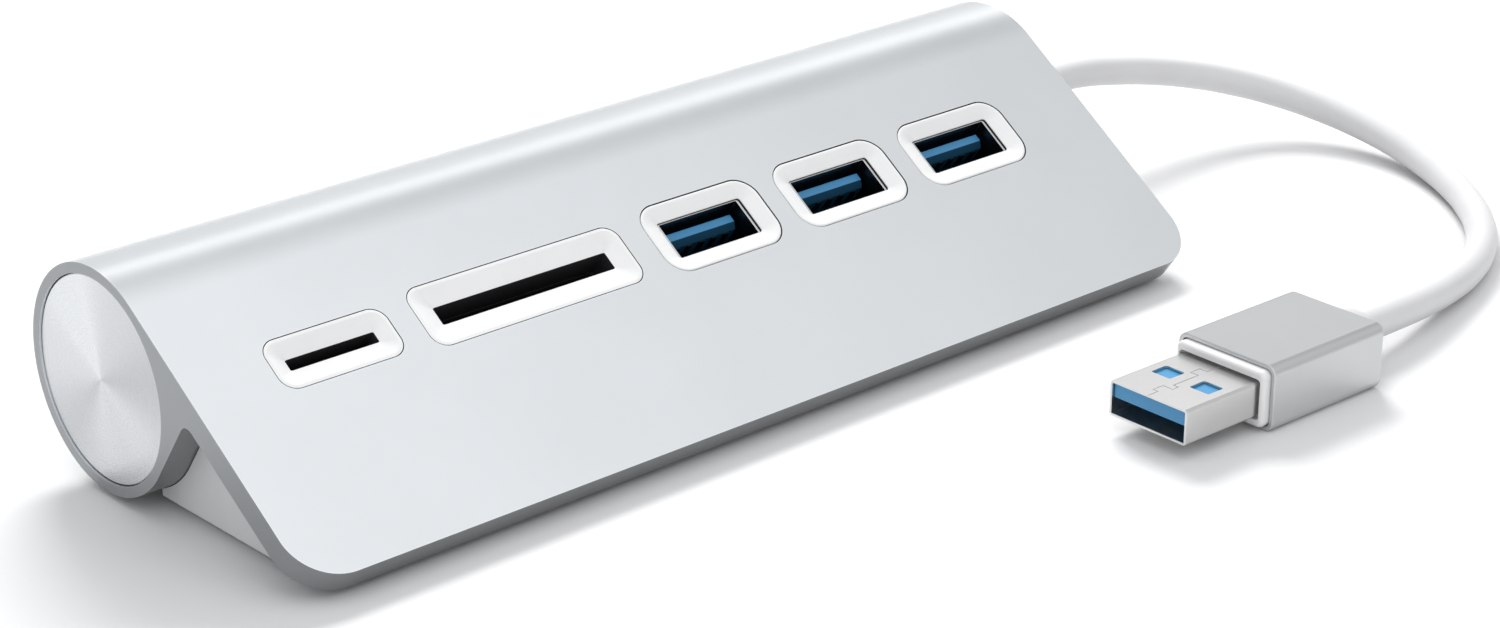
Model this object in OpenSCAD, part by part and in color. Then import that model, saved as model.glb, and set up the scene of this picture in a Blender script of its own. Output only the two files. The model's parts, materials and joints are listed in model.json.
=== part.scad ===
// Desktop USB hub with card reader: an aluminium extrusion with a sloping front plate,
// a moulded base, five framed ports, one circuit board and a short captive cord with its plug.
// X runs along the body, Y from the front edge to the back, Z up. The feet stand on Z = 0.

/* [Body] */
// Length of the extrusion
body_length = 142; // [132:1:175]
// Outer radius of the tube along the back
tube_radius = 13.7; // [13.4:0.1:16.5]
// Wall of the tube
tube_wall = 1.3; // [1:0.1:1.6]
// Length of the slope, from the tube to the front edge
slope_length = 38.5; // [34:0.5:47]
// Thickness of the front plate
plate_thickness = 3.3; // [2.6:0.1:3.6]
// Corner radius at both ends of the front edge
corner_radius = 6.3; // [3:0.1:8]
// Fillet under the plate, where it meets the tube
web_fillet = 1.5; // [0.8:0.1:2]

/* [End caps] */
// Thickness of the turned discs
disc_thickness = 1.2; // [0.8:0.1:1.5]
// Depth of the discs below the ends of the tube
disc_recess = 0.25; // [0.1:0.05:0.4]
// Length of the plastic carriers behind the discs
carrier_length = 3; // [2:0.1:3.2]
// Wall of the carriers
carrier_wall = 1.2; // [1:0.1:1.6]

/* [Base] */
// Height of the rubber feet
foot_height = 0.8; // [0.6:0.1:1.2]
// Radius of the rubber feet
foot_radius = 3.2; // [2.5:0.1:3.4]
// Thickness of the base floor
floor_thickness = 1.6; // [1.4:0.1:1.8]
// Distance of the base from each end of the extrusion
base_inset = 4; // [3.4:0.1:4.4]
// Distance of the base behind the front edge
base_setback = 4; // [3:0.5:8]
// Thickness of the end walls of the base
end_wall = 2; // [1.5:0.1:2.4]
// Radius of the screw posts in the base
post_radius = 2.8; // [2.4:0.1:3.2]

/* [Ports] */
// Distance of the row of ports from the top of the slope
port_s = 12.4; // [12:0.1:13]
// Centre of the microSD slot from the left end
microsd_x = 19.4; // [19:0.1:21]
// Centre of the SD slot from the left end
sd_x = 46.9; // [46:0.1:48]
// Centre of the first USB port from the left end
usb_x = 75.6; // [75:0.1:77]
// Distance between USB ports
usb_pitch = 21.7; // [20.8:0.1:22]
// Width of a USB frame
usb_frame_w = 18.5; // [17.4:0.1:19.2]
// Height of a USB frame
usb_frame_h = 10.1; // [9.2:0.1:11]
// Width of the SD frame
sd_frame_w = 31.2; // [30:0.1:32]
// Height of the SD frame
sd_frame_h = 8.4; // [7.5:0.1:9.5]
// Width of the microSD frame
microsd_frame_w = 16.6; // [15.6:0.1:17.2]
// Height of the microSD frame
microsd_frame_h = 6.7; // [6:0.1:7.5]
// Corner radius of a USB frame
usb_frame_r = 3; // [1.5:0.1:3.6]
// Corner radius of the two card frames
card_frame_r = 2; // [1:0.1:2.6]
// Depth of the funnel in each frame
funnel_depth = 0.6; // [0.4:0.05:0.8]

/* [Circuit board] */
// Thickness of the board
board_thickness = 1.6; // [1:0.1:1.6]
// Height of the board across the tube
board_height = 16; // [14:0.1:16.2]
// Diameter of the bulk capacitors
bulk_cap_d = 4; // [4:0.1:5]
// Height of the bulk capacitors
bulk_cap_h = 5.4; // [4.5:0.1:5.8]

/* [Cord and plug] */
// Diameter of the cord
cord_d = 4.2; // [3.8:0.1:4.6]
// Length of the strain relief outside the end disc
gland_length = 8; // [6:0.5:9]
// Width of the plug sleeve
sleeve_w = 15.1; // [14.4:0.1:18.2]
// Height of the plug sleeve
sleeve_h = 8.5; // [8.3:0.1:9.5]
// Length of the plug sleeve
sleeve_l = 20; // [16.5:0.5:26]
// Wall of the plug sleeve
sleeve_wall = 0.6; // [0.4:0.05:0.7]
// Length of plug shell in front of the moulding
plug_reach = 12.3; // [11.8:0.1:12.5]

/* [Hidden] */
$fn = 96;

// Overshoot of cuts, working gap between pieces, gap of an insulator in its shell,
// seam round each frame, gap round a screw
eps = 0.5;
fit_gap = 0.1;
snug = 0.05;
seam = 0.12;
thread_gap = 0.04;

// The slope falls so that the underside of its front edge is level with the base
// and its face is a hair below the top of the tube, so that the two meet at an edge
bore_r = tube_radius - tube_wall;
slope_r = tube_radius - 0.01;
slope_reach = norm([slope_length, tube_radius - plate_thickness]);
slope_angle = atan2(tube_radius - plate_thickness, slope_length) + asin(tube_radius / slope_reach);
body_depth = tube_radius * (1 + sin(slope_angle)) + slope_length * cos(slope_angle);
tube_y = body_depth / 2 - tube_radius;
tube_z = foot_height + tube_radius;
left_x = -body_length / 2;

// Base
base_half = body_length / 2 - base_inset;
base_front = base_setback - body_depth / 2;
back_angle = 22;
base_back = tube_y - tube_radius * sin(back_angle);
foot_edge = 0.6;
foot_x = base_half - foot_radius - 4.8;

// Pocket milled under the ports, hidden by the end walls of the base
pocket_inset = base_inset + end_wall / 2;
pocket_half = body_length / 2 - pocket_inset;
pocket_s = 5.5;
pocket_depth = 19;

// Frames round the ports: flange behind the plate, flat rim, lip at the foot of the funnel
flange_t = 1;
flange_ledge = 1;
frame_rim = 0.45;
frame_lip = 0.25;
mouth_depth = funnel_depth + frame_lip;
socket_depth = plate_thickness + flange_t + fit_gap;

// USB ports
usb_hole = [13.4, 5.4];
usb_outer = [13.2, 5.8];
usb_inner = [12.5, 5.12];
usb_length = 14;
usb_corner = 0.4;
tongue_w = 11.1;
tongue_t = 1.84;
tongue_low = 0;
tongue_start = 2.4;
tongue_back = 3.6;
usb_xs = [for (i = [0 : 2]) usb_x + i * usb_pitch];

// Card sockets: slot, body, card space, length and contacts of each
card_wall = 0.25;
sd_slot = [25.6, 2.5];
sd_body = [28, 3.2];
sd_space = [24.4, 2.4];
sd_length = 13.4;
sd_pins = 9;
sd_pin_pitch = 2.5;
microsd_slot = [12.1, 1.5];
microsd_body = [14, 1.9];
microsd_space = [11.3, 1.1];
microsd_length = 13;
microsd_pins = 8;
microsd_pin_pitch = 1.1;

// Circuit board, standing across the tube behind the ports
board_face = port_s - usb_outer.y / 2;
board_back = board_face - board_thickness;
board_top = socket_depth + 0.4;
board_half = pocket_half - 0.4;
boss_r = 2.2;
boss_x = pocket_half - boss_r - 0.3;
boss_depth = board_top + board_height / 2;
boss_length = 9.5;

// Screws
screw_r = 1;
head_r = 1.9;
head_h = 1.1;
plate_bite = 2.2;
post_s = 24;
post_step = (body_length / 2 - 22) / 3;
post_xs = [for (i = [-3 : 2 : 3]) i * post_step];

// Strain relief and the lead inside the tube
gland_neck_r = 3.4;
gland_end_r = 2.75;
gland_flange_r = 5.2;
gland_flange_t = 1.6;
exit_x = body_length / 2 - disc_recess;
gland_x = exit_x + gland_length;
carrier_x = exit_x - disc_thickness - carrier_length;
tail_end = carrier_x - gland_flange_t - 9;
wire_r = 0.45;
wire_run = 9;

// Route of the cord from the strain relief to the plug, and the plug at its end,
// drawn for a body of the stated length and moved with its right end
drawn_length = 142;
cord_shift = [(body_length - drawn_length) / 2, 0, 0];
cord_end = [64.3, -57.8, sleeve_h / 2] + cord_shift;
drawn_points = [
  [84, 12.8, 14.3], [90, 12.8, 14], [97, 12.5, 12.9], [104, 11.7, 11.5], [111, 10.1, 9.8],
  [117, 7.2, 8.1], [121.6, 2.8, 6.5], [124.4, -3.2, 5.1], [125.4, -10.5, 3.9],
  [124.6, -18, 3], [122.2, -25.2, 2.4], [118.6, -32, 2.15], [113.9, -38.4, 2.1],
  [108, -44.4, 2.1], [101.6, -49, 2.1], [94.4, -52.4, 2.2], [87, -54.7, 2.6],
  [79.6, -56.4, 3.3], [72, -57.5, 3.95]
];
cord_points = [for (point = drawn_points) point + cord_shift];
cord_route = concat([[exit_x, tube_y, tube_z], [gland_x, tube_y, tube_z]], cord_points, [cord_end]);
cord_sides = 12;
plug_yaw = -1.1;
plug_shell_size = [12, 4.5];
plug_shell_l = 18.65;
plug_wall = 0.3;
moulding_lead = 1.2;
moulding_back = 0.6;
boot_l = 4.5;
sleeve_r = 1.3;
sleeve_x = plug_reach + moulding_lead;
sleeve_end = sleeve_x + sleeve_l;
plug_length = sleeve_end + boot_l;

// ---------------------------------------------------------------- helpers

// A point of the slope, from its distance down the slope and its depth below it
function slope_y(s, depth) = tube_y - (slope_r - depth) * sin(slope_angle) - s * cos(slope_angle);
function slope_z(s, depth) = tube_z + (slope_r - depth) * cos(slope_angle) - s * sin(slope_angle);

// Slope frame: X along the body, Y up the slope from the top of the tube, Z out of the slope
module at_slope() {
  translate([0, tube_y, tube_z]) rotate([slope_angle, 0, 0]) translate([0, 0, slope_r]) children();
}

// Slope frame in a cross-section of the body
module in_section() {
  translate([tube_y, tube_z]) rotate(slope_angle) translate([0, slope_r]) children();
}

// Frame of one port, centred on its slot
module at_port(x) {
  at_slope() translate([left_x + x, -port_s, 0]) children();
}

// A cross-section in Y and Z, drawn out along X
module along_x(from, length) {
  translate([from, 0, 0]) rotate([90, 0, 90]) linear_extrude(length) children();
}

// A rectangle with round corners, centred
module rounded(size, r) {
  square([size.x - 2 * r, size.y], center = true);
  square([size.x, size.y - 2 * r], center = true);
  for (x = [-1, 1], y = [-1, 1])
    translate([x * (size.x / 2 - r), y * (size.y / 2 - r)]) circle(r);
}

// A rounded block from one depth below the slope to a greater one
module sunk(size, r, from, to) {
  translate([0, 0, -to]) linear_extrude(to - from) rounded(size, r);
}

// A rectangular block given by its lowest and highest corners
module block(low, high) {
  translate(low) cube(high - low);
}

// A round rod between two points
module rod(from, to, r) {
  run = to - from;
  translate(from) rotate([0, acos(run.z / norm(run)), atan2(run.y, run.x)]) cylinder(r = r, h = norm(run));
}

// Both ends of the body
module both_ends() {
  children();
  mirror([1, 0, 0]) children();
}

// ---------------------------------------------------------------- extrusion

// Fillet between the underside of the plate and the web under it
module web_fillet_section() {
  translate([-slope_r - web_fillet, -plate_thickness - web_fillet]) difference() {
    square(web_fillet);
    circle(web_fillet);
  }
}

module shell_section() {
  translate([tube_y, tube_z]) circle(tube_radius);
  in_section() {
    translate([-slope_r, -slope_r]) square(slope_r);
    translate([-slope_length, -plate_thickness]) square([slope_length, plate_thickness]);
    web_fillet_section();
  }
}

module pocket_section() {
  front = tube_radius + web_fillet + eps;
  in_section() translate([-front, -pocket_depth])
    square([front - pocket_s, pocket_depth - plate_thickness]);
}

// Round corner of the plate, at the right end
module front_corner_cut() {
  at_slope() translate([body_length / 2 - corner_radius, corner_radius - slope_length, 0])
    translate([0, 0, -plate_thickness - eps]) linear_extrude(plate_thickness + 2 * eps) difference() {
      translate([0, -corner_radius - eps]) square(corner_radius + eps);
      circle(corner_radius);
    }
}

module frame_opening(x, size, r) {
  at_port(x) sunk([size.x + 2 * seam, size.y + 2 * seam], r + seam, -eps, plate_thickness + eps);
}

module shell() {
  color("gainsboro") difference() {
    along_x(left_x, body_length) shell_section();
    translate([left_x - eps, tube_y, tube_z]) rotate([0, 90, 0])
      cylinder(r = bore_r, h = body_length + 2 * eps);
    along_x(-pocket_half, 2 * pocket_half) pocket_section();
    frame_opening(microsd_x, [microsd_frame_w, microsd_frame_h], card_frame_r);
    frame_opening(sd_x, [sd_frame_w, sd_frame_h], card_frame_r);
    for (x = usb_xs) frame_opening(x, [usb_frame_w, usb_frame_h], usb_frame_r);
    for (x = post_xs) translate([x, slope_y(post_s, plate_thickness), 0])
      cylinder(r = screw_r + thread_gap, h = slope_z(post_s, plate_thickness) + plate_bite + fit_gap);
    both_ends() front_corner_cut();
  }
}

// ---------------------------------------------------------------- end caps

// Turned disc in one end of the tube, seen at the right end
module end_disc(hole_r) {
  translate([exit_x - disc_thickness, tube_y, tube_z]) rotate([0, 90, 0])
    difference() {
      cylinder(r = bore_r - fit_gap, h = disc_thickness);
      if (hole_r > 0) translate([0, 0, -eps]) cylinder(r = hole_r, h = disc_thickness + 2 * eps);
    }
}

// Plastic cup that holds a disc, open towards the inside of the tube
module disc_carrier(hole_r) {
  translate([carrier_x, tube_y, tube_z]) rotate([0, 90, 0]) difference() {
    cylinder(r = bore_r - fit_gap, h = carrier_length);
    translate([0, 0, -eps])
      cylinder(r = bore_r - fit_gap - carrier_wall, h = carrier_length - carrier_wall + eps);
    if (hole_r > 0) cylinder(r = hole_r, h = carrier_length + eps);
  }
}

module left_end_disc() {
  color("whitesmoke") mirror([1, 0, 0]) end_disc(0);
}

module right_end_disc() {
  color("whitesmoke") end_disc(gland_neck_r + fit_gap);
}

module left_disc_carrier() {
  color("dimgray") mirror([1, 0, 0]) disc_carrier(0);
}

module right_disc_carrier() {
  color("dimgray") disc_carrier(gland_neck_r + fit_gap);
}

// ---------------------------------------------------------------- base

// Space between the plate, the tube and the table
module wedge_section() {
  difference() {
    translate([base_front, foot_height]) square([base_back - base_front, tube_z]);
    translate([tube_y, tube_z]) circle(tube_radius + fit_gap);
    in_section() {
      translate([-2 * slope_length, -plate_thickness - fit_gap]) square(3 * slope_length);
      translate([-slope_r - fit_gap, -slope_r]) square(2 * slope_r);
      translate([-fit_gap, -fit_gap]) web_fillet_section();
    }
  }
}

module floor_section() {
  intersection() {
    wedge_section();
    translate([base_front, foot_height]) square([base_back - base_front, floor_thickness]);
  }
}

module at_posts() {
  for (x = post_xs) translate([x, slope_y(post_s, plate_thickness), foot_height]) children();
}

module board_boss(r, length) {
  both_ends() at_slope() translate([boss_x, -board_face, -boss_depth]) rotate([90, 0, 0])
    cylinder(r = r, h = length);
}

module base() {
  color("white") difference() {
    union() {
      along_x(-base_half, 2 * base_half) floor_section();
      both_ends() along_x(base_half - end_wall, end_wall) wedge_section();
      intersection() {
        at_posts() cylinder(r = post_radius, h = tube_z);
        along_x(-base_half, 2 * base_half) wedge_section();
      }
      board_boss(boss_r, boss_length);
    }
    at_posts() {
      translate([0, 0, -eps]) cylinder(r = screw_r + thread_gap, h = tube_z);
      translate([0, 0, -eps]) cylinder(r = head_r + fit_gap, h = eps + fit_gap);
      translate([0, 0, fit_gap])
        cylinder(r1 = head_r + fit_gap, r2 = screw_r + thread_gap, h = head_h);
    }
    board_boss(screw_r + thread_gap, boss_length - 2);
  }
}

module rubber_feet() {
  front = base_front + foot_radius + foot_edge;
  back = base_back - foot_radius - foot_edge;
  color("darkgray") for (x = [-foot_x, foot_x], y = [front, back])
    translate([x, y, 0]) cylinder(r = foot_radius, h = foot_height);
}

module base_screws() {
  color("silver") at_posts() translate([0, 0, fit_gap]) {
    cylinder(r1 = head_r, r2 = screw_r, h = head_h);
    cylinder(r = screw_r, h = slope_z(post_s, plate_thickness) - foot_height + plate_bite - fit_gap);
  }
}

// ---------------------------------------------------------------- port frames

// Moulded frame with a funnel down to its slot and a flange behind the plate
module port_frame(size, r, slot, slot_r, rear) {
  thin = 0.01;
  difference() {
    union() {
      sunk(size, r, 0, plate_thickness + flange_t);
      sunk([size.x + 2 * flange_ledge, size.y + 2 * flange_ledge], r + flange_ledge,
        plate_thickness + fit_gap, plate_thickness + flange_t);
    }
    hull() {
      sunk([size.x - 2 * frame_rim, size.y - 2 * frame_rim], r - frame_rim, -thin, 0, $fn = 32);
      sunk(slot, slot_r, funnel_depth - thin, funnel_depth, $fn = 32);
    }
    sunk(slot, slot_r, 0, plate_thickness + flange_t + eps);
    sunk(rear, slot_r, mouth_depth, plate_thickness + flange_t + eps);
  }
}

module microsd_frame() {
  color("white") at_port(microsd_x)
    port_frame([microsd_frame_w, microsd_frame_h], card_frame_r, microsd_slot, 0.3, microsd_slot);
}

module sd_frame() {
  color("white") at_port(sd_x)
    port_frame([sd_frame_w, sd_frame_h], card_frame_r, sd_slot, 0.3, sd_slot);
}

module usb_frame(number) {
  color("white") at_port(usb_xs[number - 1])
    port_frame([usb_frame_w, usb_frame_h], usb_frame_r, usb_hole, usb_corner,
      usb_outer + [2 * fit_gap, 2 * fit_gap]);
}

// ---------------------------------------------------------------- USB ports

module usb_port_shell(number) {
  color("silver") at_port(usb_xs[number - 1]) difference() {
    sunk(usb_outer, usb_corner, mouth_depth, mouth_depth + usb_length);
    sunk(usb_inner, usb_corner - 0.25, mouth_depth - eps, mouth_depth + usb_length + eps);
  }
}

// Insulator: the tongue, on the block that closes the back of the port
module usb_tongue(number) {
  back = mouth_depth + usb_length;
  half = usb_inner / 2 - [snug, snug];
  color("steelblue") at_port(usb_xs[number - 1]) {
    block([-half.x, -half.y, -back], [half.x, half.y, tongue_back - back]);
    block([-tongue_w / 2, tongue_low, tongue_back - back],
      [tongue_w / 2, tongue_low + tongue_t, -tongue_start]);
  }
}

// Contacts on the side of each tongue that faces the front edge
module usb_port_contacts() {
  contact_t = 0.15;
  back = mouth_depth + usb_length - tongue_back;
  color("gold") for (x = usb_xs) at_port(x) {
    for (pin = [-3.5, -1, 1, 3.5])
      block([pin - 0.5, tongue_low - contact_t, -back], [pin + 0.5, tongue_low, -tongue_start - 3.4]);
    for (pin = [-4 : 2 : 4])
      block([pin - 0.4, tongue_low - contact_t, -tongue_start - 2.6],
        [pin + 0.4, tongue_low, -tongue_start - 0.8]);
  }
}

// ---------------------------------------------------------------- card sockets

// Moulded body, open at the mouth, on four feet that stand on the board
module socket_body(size, space, length) {
  foot = 2.4;
  half = size / 2;
  back = socket_depth + length;
  difference() {
    block([-half.x, -half.y, -back], [half.x, half.y, -socket_depth]);
    block([-space.x / 2, -space.y / 2, 1 - back], [space.x / 2, space.y / 2, eps - socket_depth]);
  }
  for (x = [-half.x, half.x - foot], z = [-back, -socket_depth - foot])
    block([x, half.y, z], [x + foot, port_s - board_face, z + foot]);
}

// Sheet-metal cover over the body, folded down along both sides
module socket_cover(size, length) {
  half = size / 2;
  back = socket_depth + length;
  block([-half.x - card_wall, -half.y - card_wall, -back], [half.x + card_wall, -half.y, -socket_depth]);
  for (x = [-half.x - card_wall, half.x])
    block([x, -half.y - eps / 4, -back], [x + card_wall, half.y - card_wall, -socket_depth]);
}

// Row of contact springs on the board side of the card space
module socket_contacts(space, length, pins, pitch) {
  contact_t = 0.15;
  contact_w = 0.4 * pitch;
  back = socket_depth + length - 1;
  for (i = [0 : pins - 1]) {
    x = (i - (pins - 1) / 2) * pitch;
    block([x - contact_w / 2, space.y / 2 - contact_t, -back], [x + contact_w / 2, space.y / 2, 7 - back]);
  }
}

module sd_socket_body() {
  color("dimgray") at_port(sd_x) socket_body(sd_body, sd_space, sd_length);
}

module sd_socket_cover() {
  color("silver") at_port(sd_x) socket_cover(sd_body, sd_length);
}

module sd_contacts() {
  color("gold") at_port(sd_x) socket_contacts(sd_space, sd_length, sd_pins, sd_pin_pitch);
}

module microsd_socket_body() {
  color("dimgray") at_port(microsd_x) socket_body(microsd_body, microsd_space, microsd_length);
}

module microsd_socket_cover() {
  color("silver") at_port(microsd_x) socket_cover(microsd_body, microsd_length);
}

module microsd_contacts() {
  color("gold") at_port(microsd_x)
    socket_contacts(microsd_space, microsd_length, microsd_pins, microsd_pin_pitch);
}

// ---------------------------------------------------------------- circuit board

// Frame on the back of the board: X along the body, Y up the slope off the board, Z as the slope
module on_board(x, depth) {
  at_slope() translate([left_x + x, -board_back, -depth]) children();
}

// A part soldered to the back of the board
module board_part(x, depth, size) {
  on_board(x, depth) translate([0, size.z / 2, 0]) cube([size.x, size.z, size.y], center = true);
}

module main_board() {
  color("seagreen") difference() {
    at_slope() block([-board_half, -board_face, -board_top - board_height],
      [board_half, -board_back, -board_top]);
    both_ends() at_slope() translate([boss_x, -board_face - eps, -boss_depth]) rotate([-90, 0, 0])
      cylinder(r = screw_r + fit_gap, h = board_thickness + 2 * eps);
  }
}

module hub_chip() {
  color("black") board_part(usb_x + usb_pitch / 2, board_top + board_height - 5.5, [7, 7, 0.9]);
}

module reader_chip() {
  color("black") board_part((microsd_x + sd_x) / 2, board_top + board_height - 5.5, [6, 6, 0.9]);
}

module crystal() {
  color("silver") board_part(usb_x - 1, board_top + board_height - 5.5, [5, 3.2, 1.1]);
}

module bulk_capacitors() {
  color("lightslategray") for (x = usb_xs) on_board(x + usb_pitch / 2 - 1.5, board_top + 3.4)
    rotate([-90, 0, 0]) cylinder(d = bulk_cap_d, h = bulk_cap_h);
}

module chip_capacitors() {
  color("tan") for (x = [microsd_x + 3 : 9 : usb_xs[2]])
    board_part(x, board_top + 6.6, [1.6, 0.8, 0.8]);
}

module board_screws() {
  color("silver") both_ends() at_slope() translate([boss_x, -board_back, -boss_depth])
    rotate([90, 0, 0]) {
      cylinder(r = screw_r, h = board_thickness + boss_length - 3);
      translate([0, 0, -head_h]) cylinder(r = head_r, h = head_h);
    }
}

// ---------------------------------------------------------------- cord

// End of the cord inside the strain relief and the tube
module cord_tail() {
  color("white") rod([tail_end, tube_y, tube_z], [exit_x, tube_y, tube_z], cord_d / 2);
}

// The conductors, fanned out to their pads on the back of the board
module lead_wires() {
  color("firebrick") at_slope() for (i = [-1.5 : 1.5])
    rod([tail_end - wire_r, 0, i * 2 * wire_r - slope_r],
      [tail_end - wire_run, wire_r - board_back, i * 2.4 - slope_r], wire_r);
}

// Strain relief: a flange inside the carrier, a neck through the disc and a tapered nose
module cord_gland() {
  inner = exit_x - disc_thickness - carrier_wall;
  neck = gland_x - inner;
  nose_round = 0.5;
  color("white") translate([inner - gland_flange_t, tube_y, tube_z]) rotate([0, 90, 0]) difference() {
    rotate_extrude() polygon([
      [0, 0], [gland_flange_r, 0], [gland_flange_r, gland_flange_t], [gland_neck_r, gland_flange_t],
      [gland_neck_r, gland_flange_t + neck - gland_length], [gland_end_r, gland_flange_t + neck - nose_round],
      [gland_end_r - nose_round, gland_flange_t + neck], [0, gland_flange_t + neck]
    ]);
    translate([0, 0, -eps]) cylinder(r = cord_d / 2, h = gland_flange_t + neck + 2 * eps);
  }
}

// Direction of the route at point i: straight through the strain relief, straight into the plug
function route_run(i) =
  i < 2 ? [1, 0, 0] :
  i == len(cord_route) - 1 ? [-cos(plug_yaw), -sin(plug_yaw), 0] :
  cord_route[i + 1] - cord_route[i - 1];
function unit(v) = v / norm(v);
function ring(i) =
  let (ahead = unit(route_run(i)), side = unit(cross(ahead, [0, 0, 1])), above = cross(side, ahead))
  [for (k = [0 : cord_sides - 1]) let (turn = 360 * k / cord_sides)
    cord_route[i] + cord_d / 2 * (cos(turn) * side + sin(turn) * above)];

module cord() {
  rings = len(cord_route);
  points = [for (i = [0 : rings - 1]) each ring(i)];
  walls = [for (i = [0 : rings - 2], k = [0 : cord_sides - 1])
    let (next = (k + 1) % cord_sides, a = i * cord_sides, b = a + cord_sides)
    each [[a + k, b + k, a + next], [a + next, b + k, b + next]]];
  first = [for (k = [0 : cord_sides - 1]) k];
  last = [for (k = [cord_sides - 1 : -1 : 0]) (rings - 1) * cord_sides + k];
  color("white") polyhedron(points, concat([first], walls, [last]), convexity = 4);
}

// ---------------------------------------------------------------- plug

// Plug frame: X from the tip to the cord, Y across, Z up, centred on the shell
module at_plug() {
  translate(cord_end) rotate([0, 0, plug_yaw]) translate([-plug_length, 0, 0]) children();
}

// A rounded section across the plug, from one distance behind the tip to another
module plug_part(size, r, from, to) {
  along_x(from, to - from) rounded(size, r);
}

module plug_boot() {
  start = sleeve_end - moulding_back;
  grip = sleeve_h / 2 - 0.7;
  color("white") at_plug() translate([start, 0, 0]) rotate([0, 90, 0]) rotate_extrude() polygon([
    [0, 0], [grip - 0.4, 0], [grip, 0.9], [grip, 2.4], [grip - 0.3, 3.4],
    [cord_d / 2 + 0.5, plug_length - start], [0, plug_length - start]
  ]);
}

module plug_sleeve() {
  inner = [sleeve_w - 2 * sleeve_wall, sleeve_h - 2 * sleeve_wall];
  color("silver") at_plug() difference() {
    plug_part([sleeve_w, sleeve_h], sleeve_r, sleeve_x, sleeve_end);
    plug_part(inner, sleeve_r - sleeve_wall, sleeve_x - eps, sleeve_end + eps);
  }
}

module plug_moulding() {
  inner = [sleeve_w - 2 * sleeve_wall - fit_gap, sleeve_h - 2 * sleeve_wall - fit_gap];
  color("white") at_plug() difference() {
    plug_part(inner, sleeve_r - sleeve_wall, plug_reach, sleeve_end - moulding_back);
    plug_part(plug_shell_size + [0.7, 0.7], 0.4, plug_reach - eps, plug_reach + 1);
    plug_part(plug_shell_size + [0.04, 0.04], 0.4, plug_reach, plug_shell_l + fit_gap);
  }
}

module plug_windows() {
  window = [2.7, 3];
  window_x = 5.3;
  window_y = 3;
  for (y = [-window_y, window_y])
    block([window_x, y - window.y / 2, -plug_shell_size.y],
      [window_x + window.x, y + window.y / 2, plug_shell_size.y]);
}

module plug_shell() {
  inner = plug_shell_size - [2 * plug_wall, 2 * plug_wall];
  color("silver") at_plug() difference() {
    plug_part(plug_shell_size, 0.4, 0, plug_shell_l);
    plug_part(inner, 0.15, -eps, plug_shell_l + eps);
    plug_windows();
  }
}

// Insulator: the upper half at the front, the whole opening at the back
module plug_insulator() {
  half = plug_shell_size / 2 - [plug_wall + snug, plug_wall + snug];
  tip = 0.35;
  fill = 9.5;
  color("steelblue") at_plug() {
    block([tip, -half.x, 0], [plug_shell_l, half.x, half.y]);
    block([fill, -half.x, -half.y], [plug_shell_l, half.x, 0]);
  }
}

module plug_contacts() {
  contact_t = 0.15;
  color("gold") at_plug() for (pin = [-3.5, -1, 1, 3.5])
    block([1.6, pin - 0.5, -contact_t], [9, pin + 0.5, 0]);
}

// ---------------------------------------------------------------- nodes

shell();
left_end_disc();
right_end_disc();
left_disc_carrier();
right_disc_carrier();
base();
rubber_feet();
base_screws();
microsd_frame();
sd_frame();
usb_frame(1);  // usb_frame_1
usb_frame(2);  // usb_frame_2
usb_frame(3);  // usb_frame_3
usb_port_shell(1);  // usb_port_shell_1
usb_port_shell(2);  // usb_port_shell_2
usb_port_shell(3);  // usb_port_shell_3
usb_tongue(1);  // usb_tongue_1
usb_tongue(2);  // usb_tongue_2
usb_tongue(3);  // usb_tongue_3
usb_port_contacts();
sd_socket_body();
sd_socket_cover();
sd_contacts();
microsd_socket_body();
microsd_socket_cover();
microsd_contacts();
main_board();
hub_chip();
reader_chip();
crystal();
bulk_capacitors();
chip_capacitors();
board_screws();
cord_tail();
lead_wires();
cord_gland();
cord();
plug_boot();
plug_sleeve();
plug_moulding();
plug_shell();
plug_insulator();
plug_contacts();
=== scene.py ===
"""Desktop USB hub with card reader: the looks of each piece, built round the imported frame."""

import json
from math import atan2, pi, radians

import bpy
from bpy.props import FloatProperty, FloatVectorProperty, IntProperty, PointerProperty
from mathutils import Matrix, Vector


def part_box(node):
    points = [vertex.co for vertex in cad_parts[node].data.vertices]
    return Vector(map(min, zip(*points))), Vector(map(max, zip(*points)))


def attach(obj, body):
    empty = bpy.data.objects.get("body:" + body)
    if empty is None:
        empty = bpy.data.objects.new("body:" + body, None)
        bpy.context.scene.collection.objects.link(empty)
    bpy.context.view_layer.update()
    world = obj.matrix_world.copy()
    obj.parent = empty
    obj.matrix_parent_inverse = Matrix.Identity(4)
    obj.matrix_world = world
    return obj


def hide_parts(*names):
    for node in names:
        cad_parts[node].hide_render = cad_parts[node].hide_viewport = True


bl_info = {
    "name": "Desktop USB hub",
    "version": (1, 0, 0),
    "blender": (4, 5, 0),
    "location": "View3D > Sidebar > USB hub",
    "description": "Makes the visible pieces, finishes and studio of a desktop USB hub",
    "category": "Object",
}

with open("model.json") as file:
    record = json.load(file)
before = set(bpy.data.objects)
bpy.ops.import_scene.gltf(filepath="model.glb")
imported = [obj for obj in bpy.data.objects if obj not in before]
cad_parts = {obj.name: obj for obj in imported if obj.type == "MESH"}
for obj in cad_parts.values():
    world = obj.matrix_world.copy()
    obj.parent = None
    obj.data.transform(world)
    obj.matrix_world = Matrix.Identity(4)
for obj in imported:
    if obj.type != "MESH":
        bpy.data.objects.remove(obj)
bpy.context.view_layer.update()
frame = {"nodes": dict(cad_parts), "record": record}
MM = 0.001
BODY = "root"
MOUNTS = {mount["name"]: mount for mount in frame["record"]["mounts"]}

# The slope: its outward normal, the direction up it, and the depth of the ports' mounts below it
SLOPE_OUT = Vector(MOUNTS["usb_port_1"]["axis"]).normalized()
SLOPE_UP = SLOPE_OUT.cross(Vector((1, 0, 0)))
FUNNEL_DEPTH = 0.6 * MM

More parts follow.
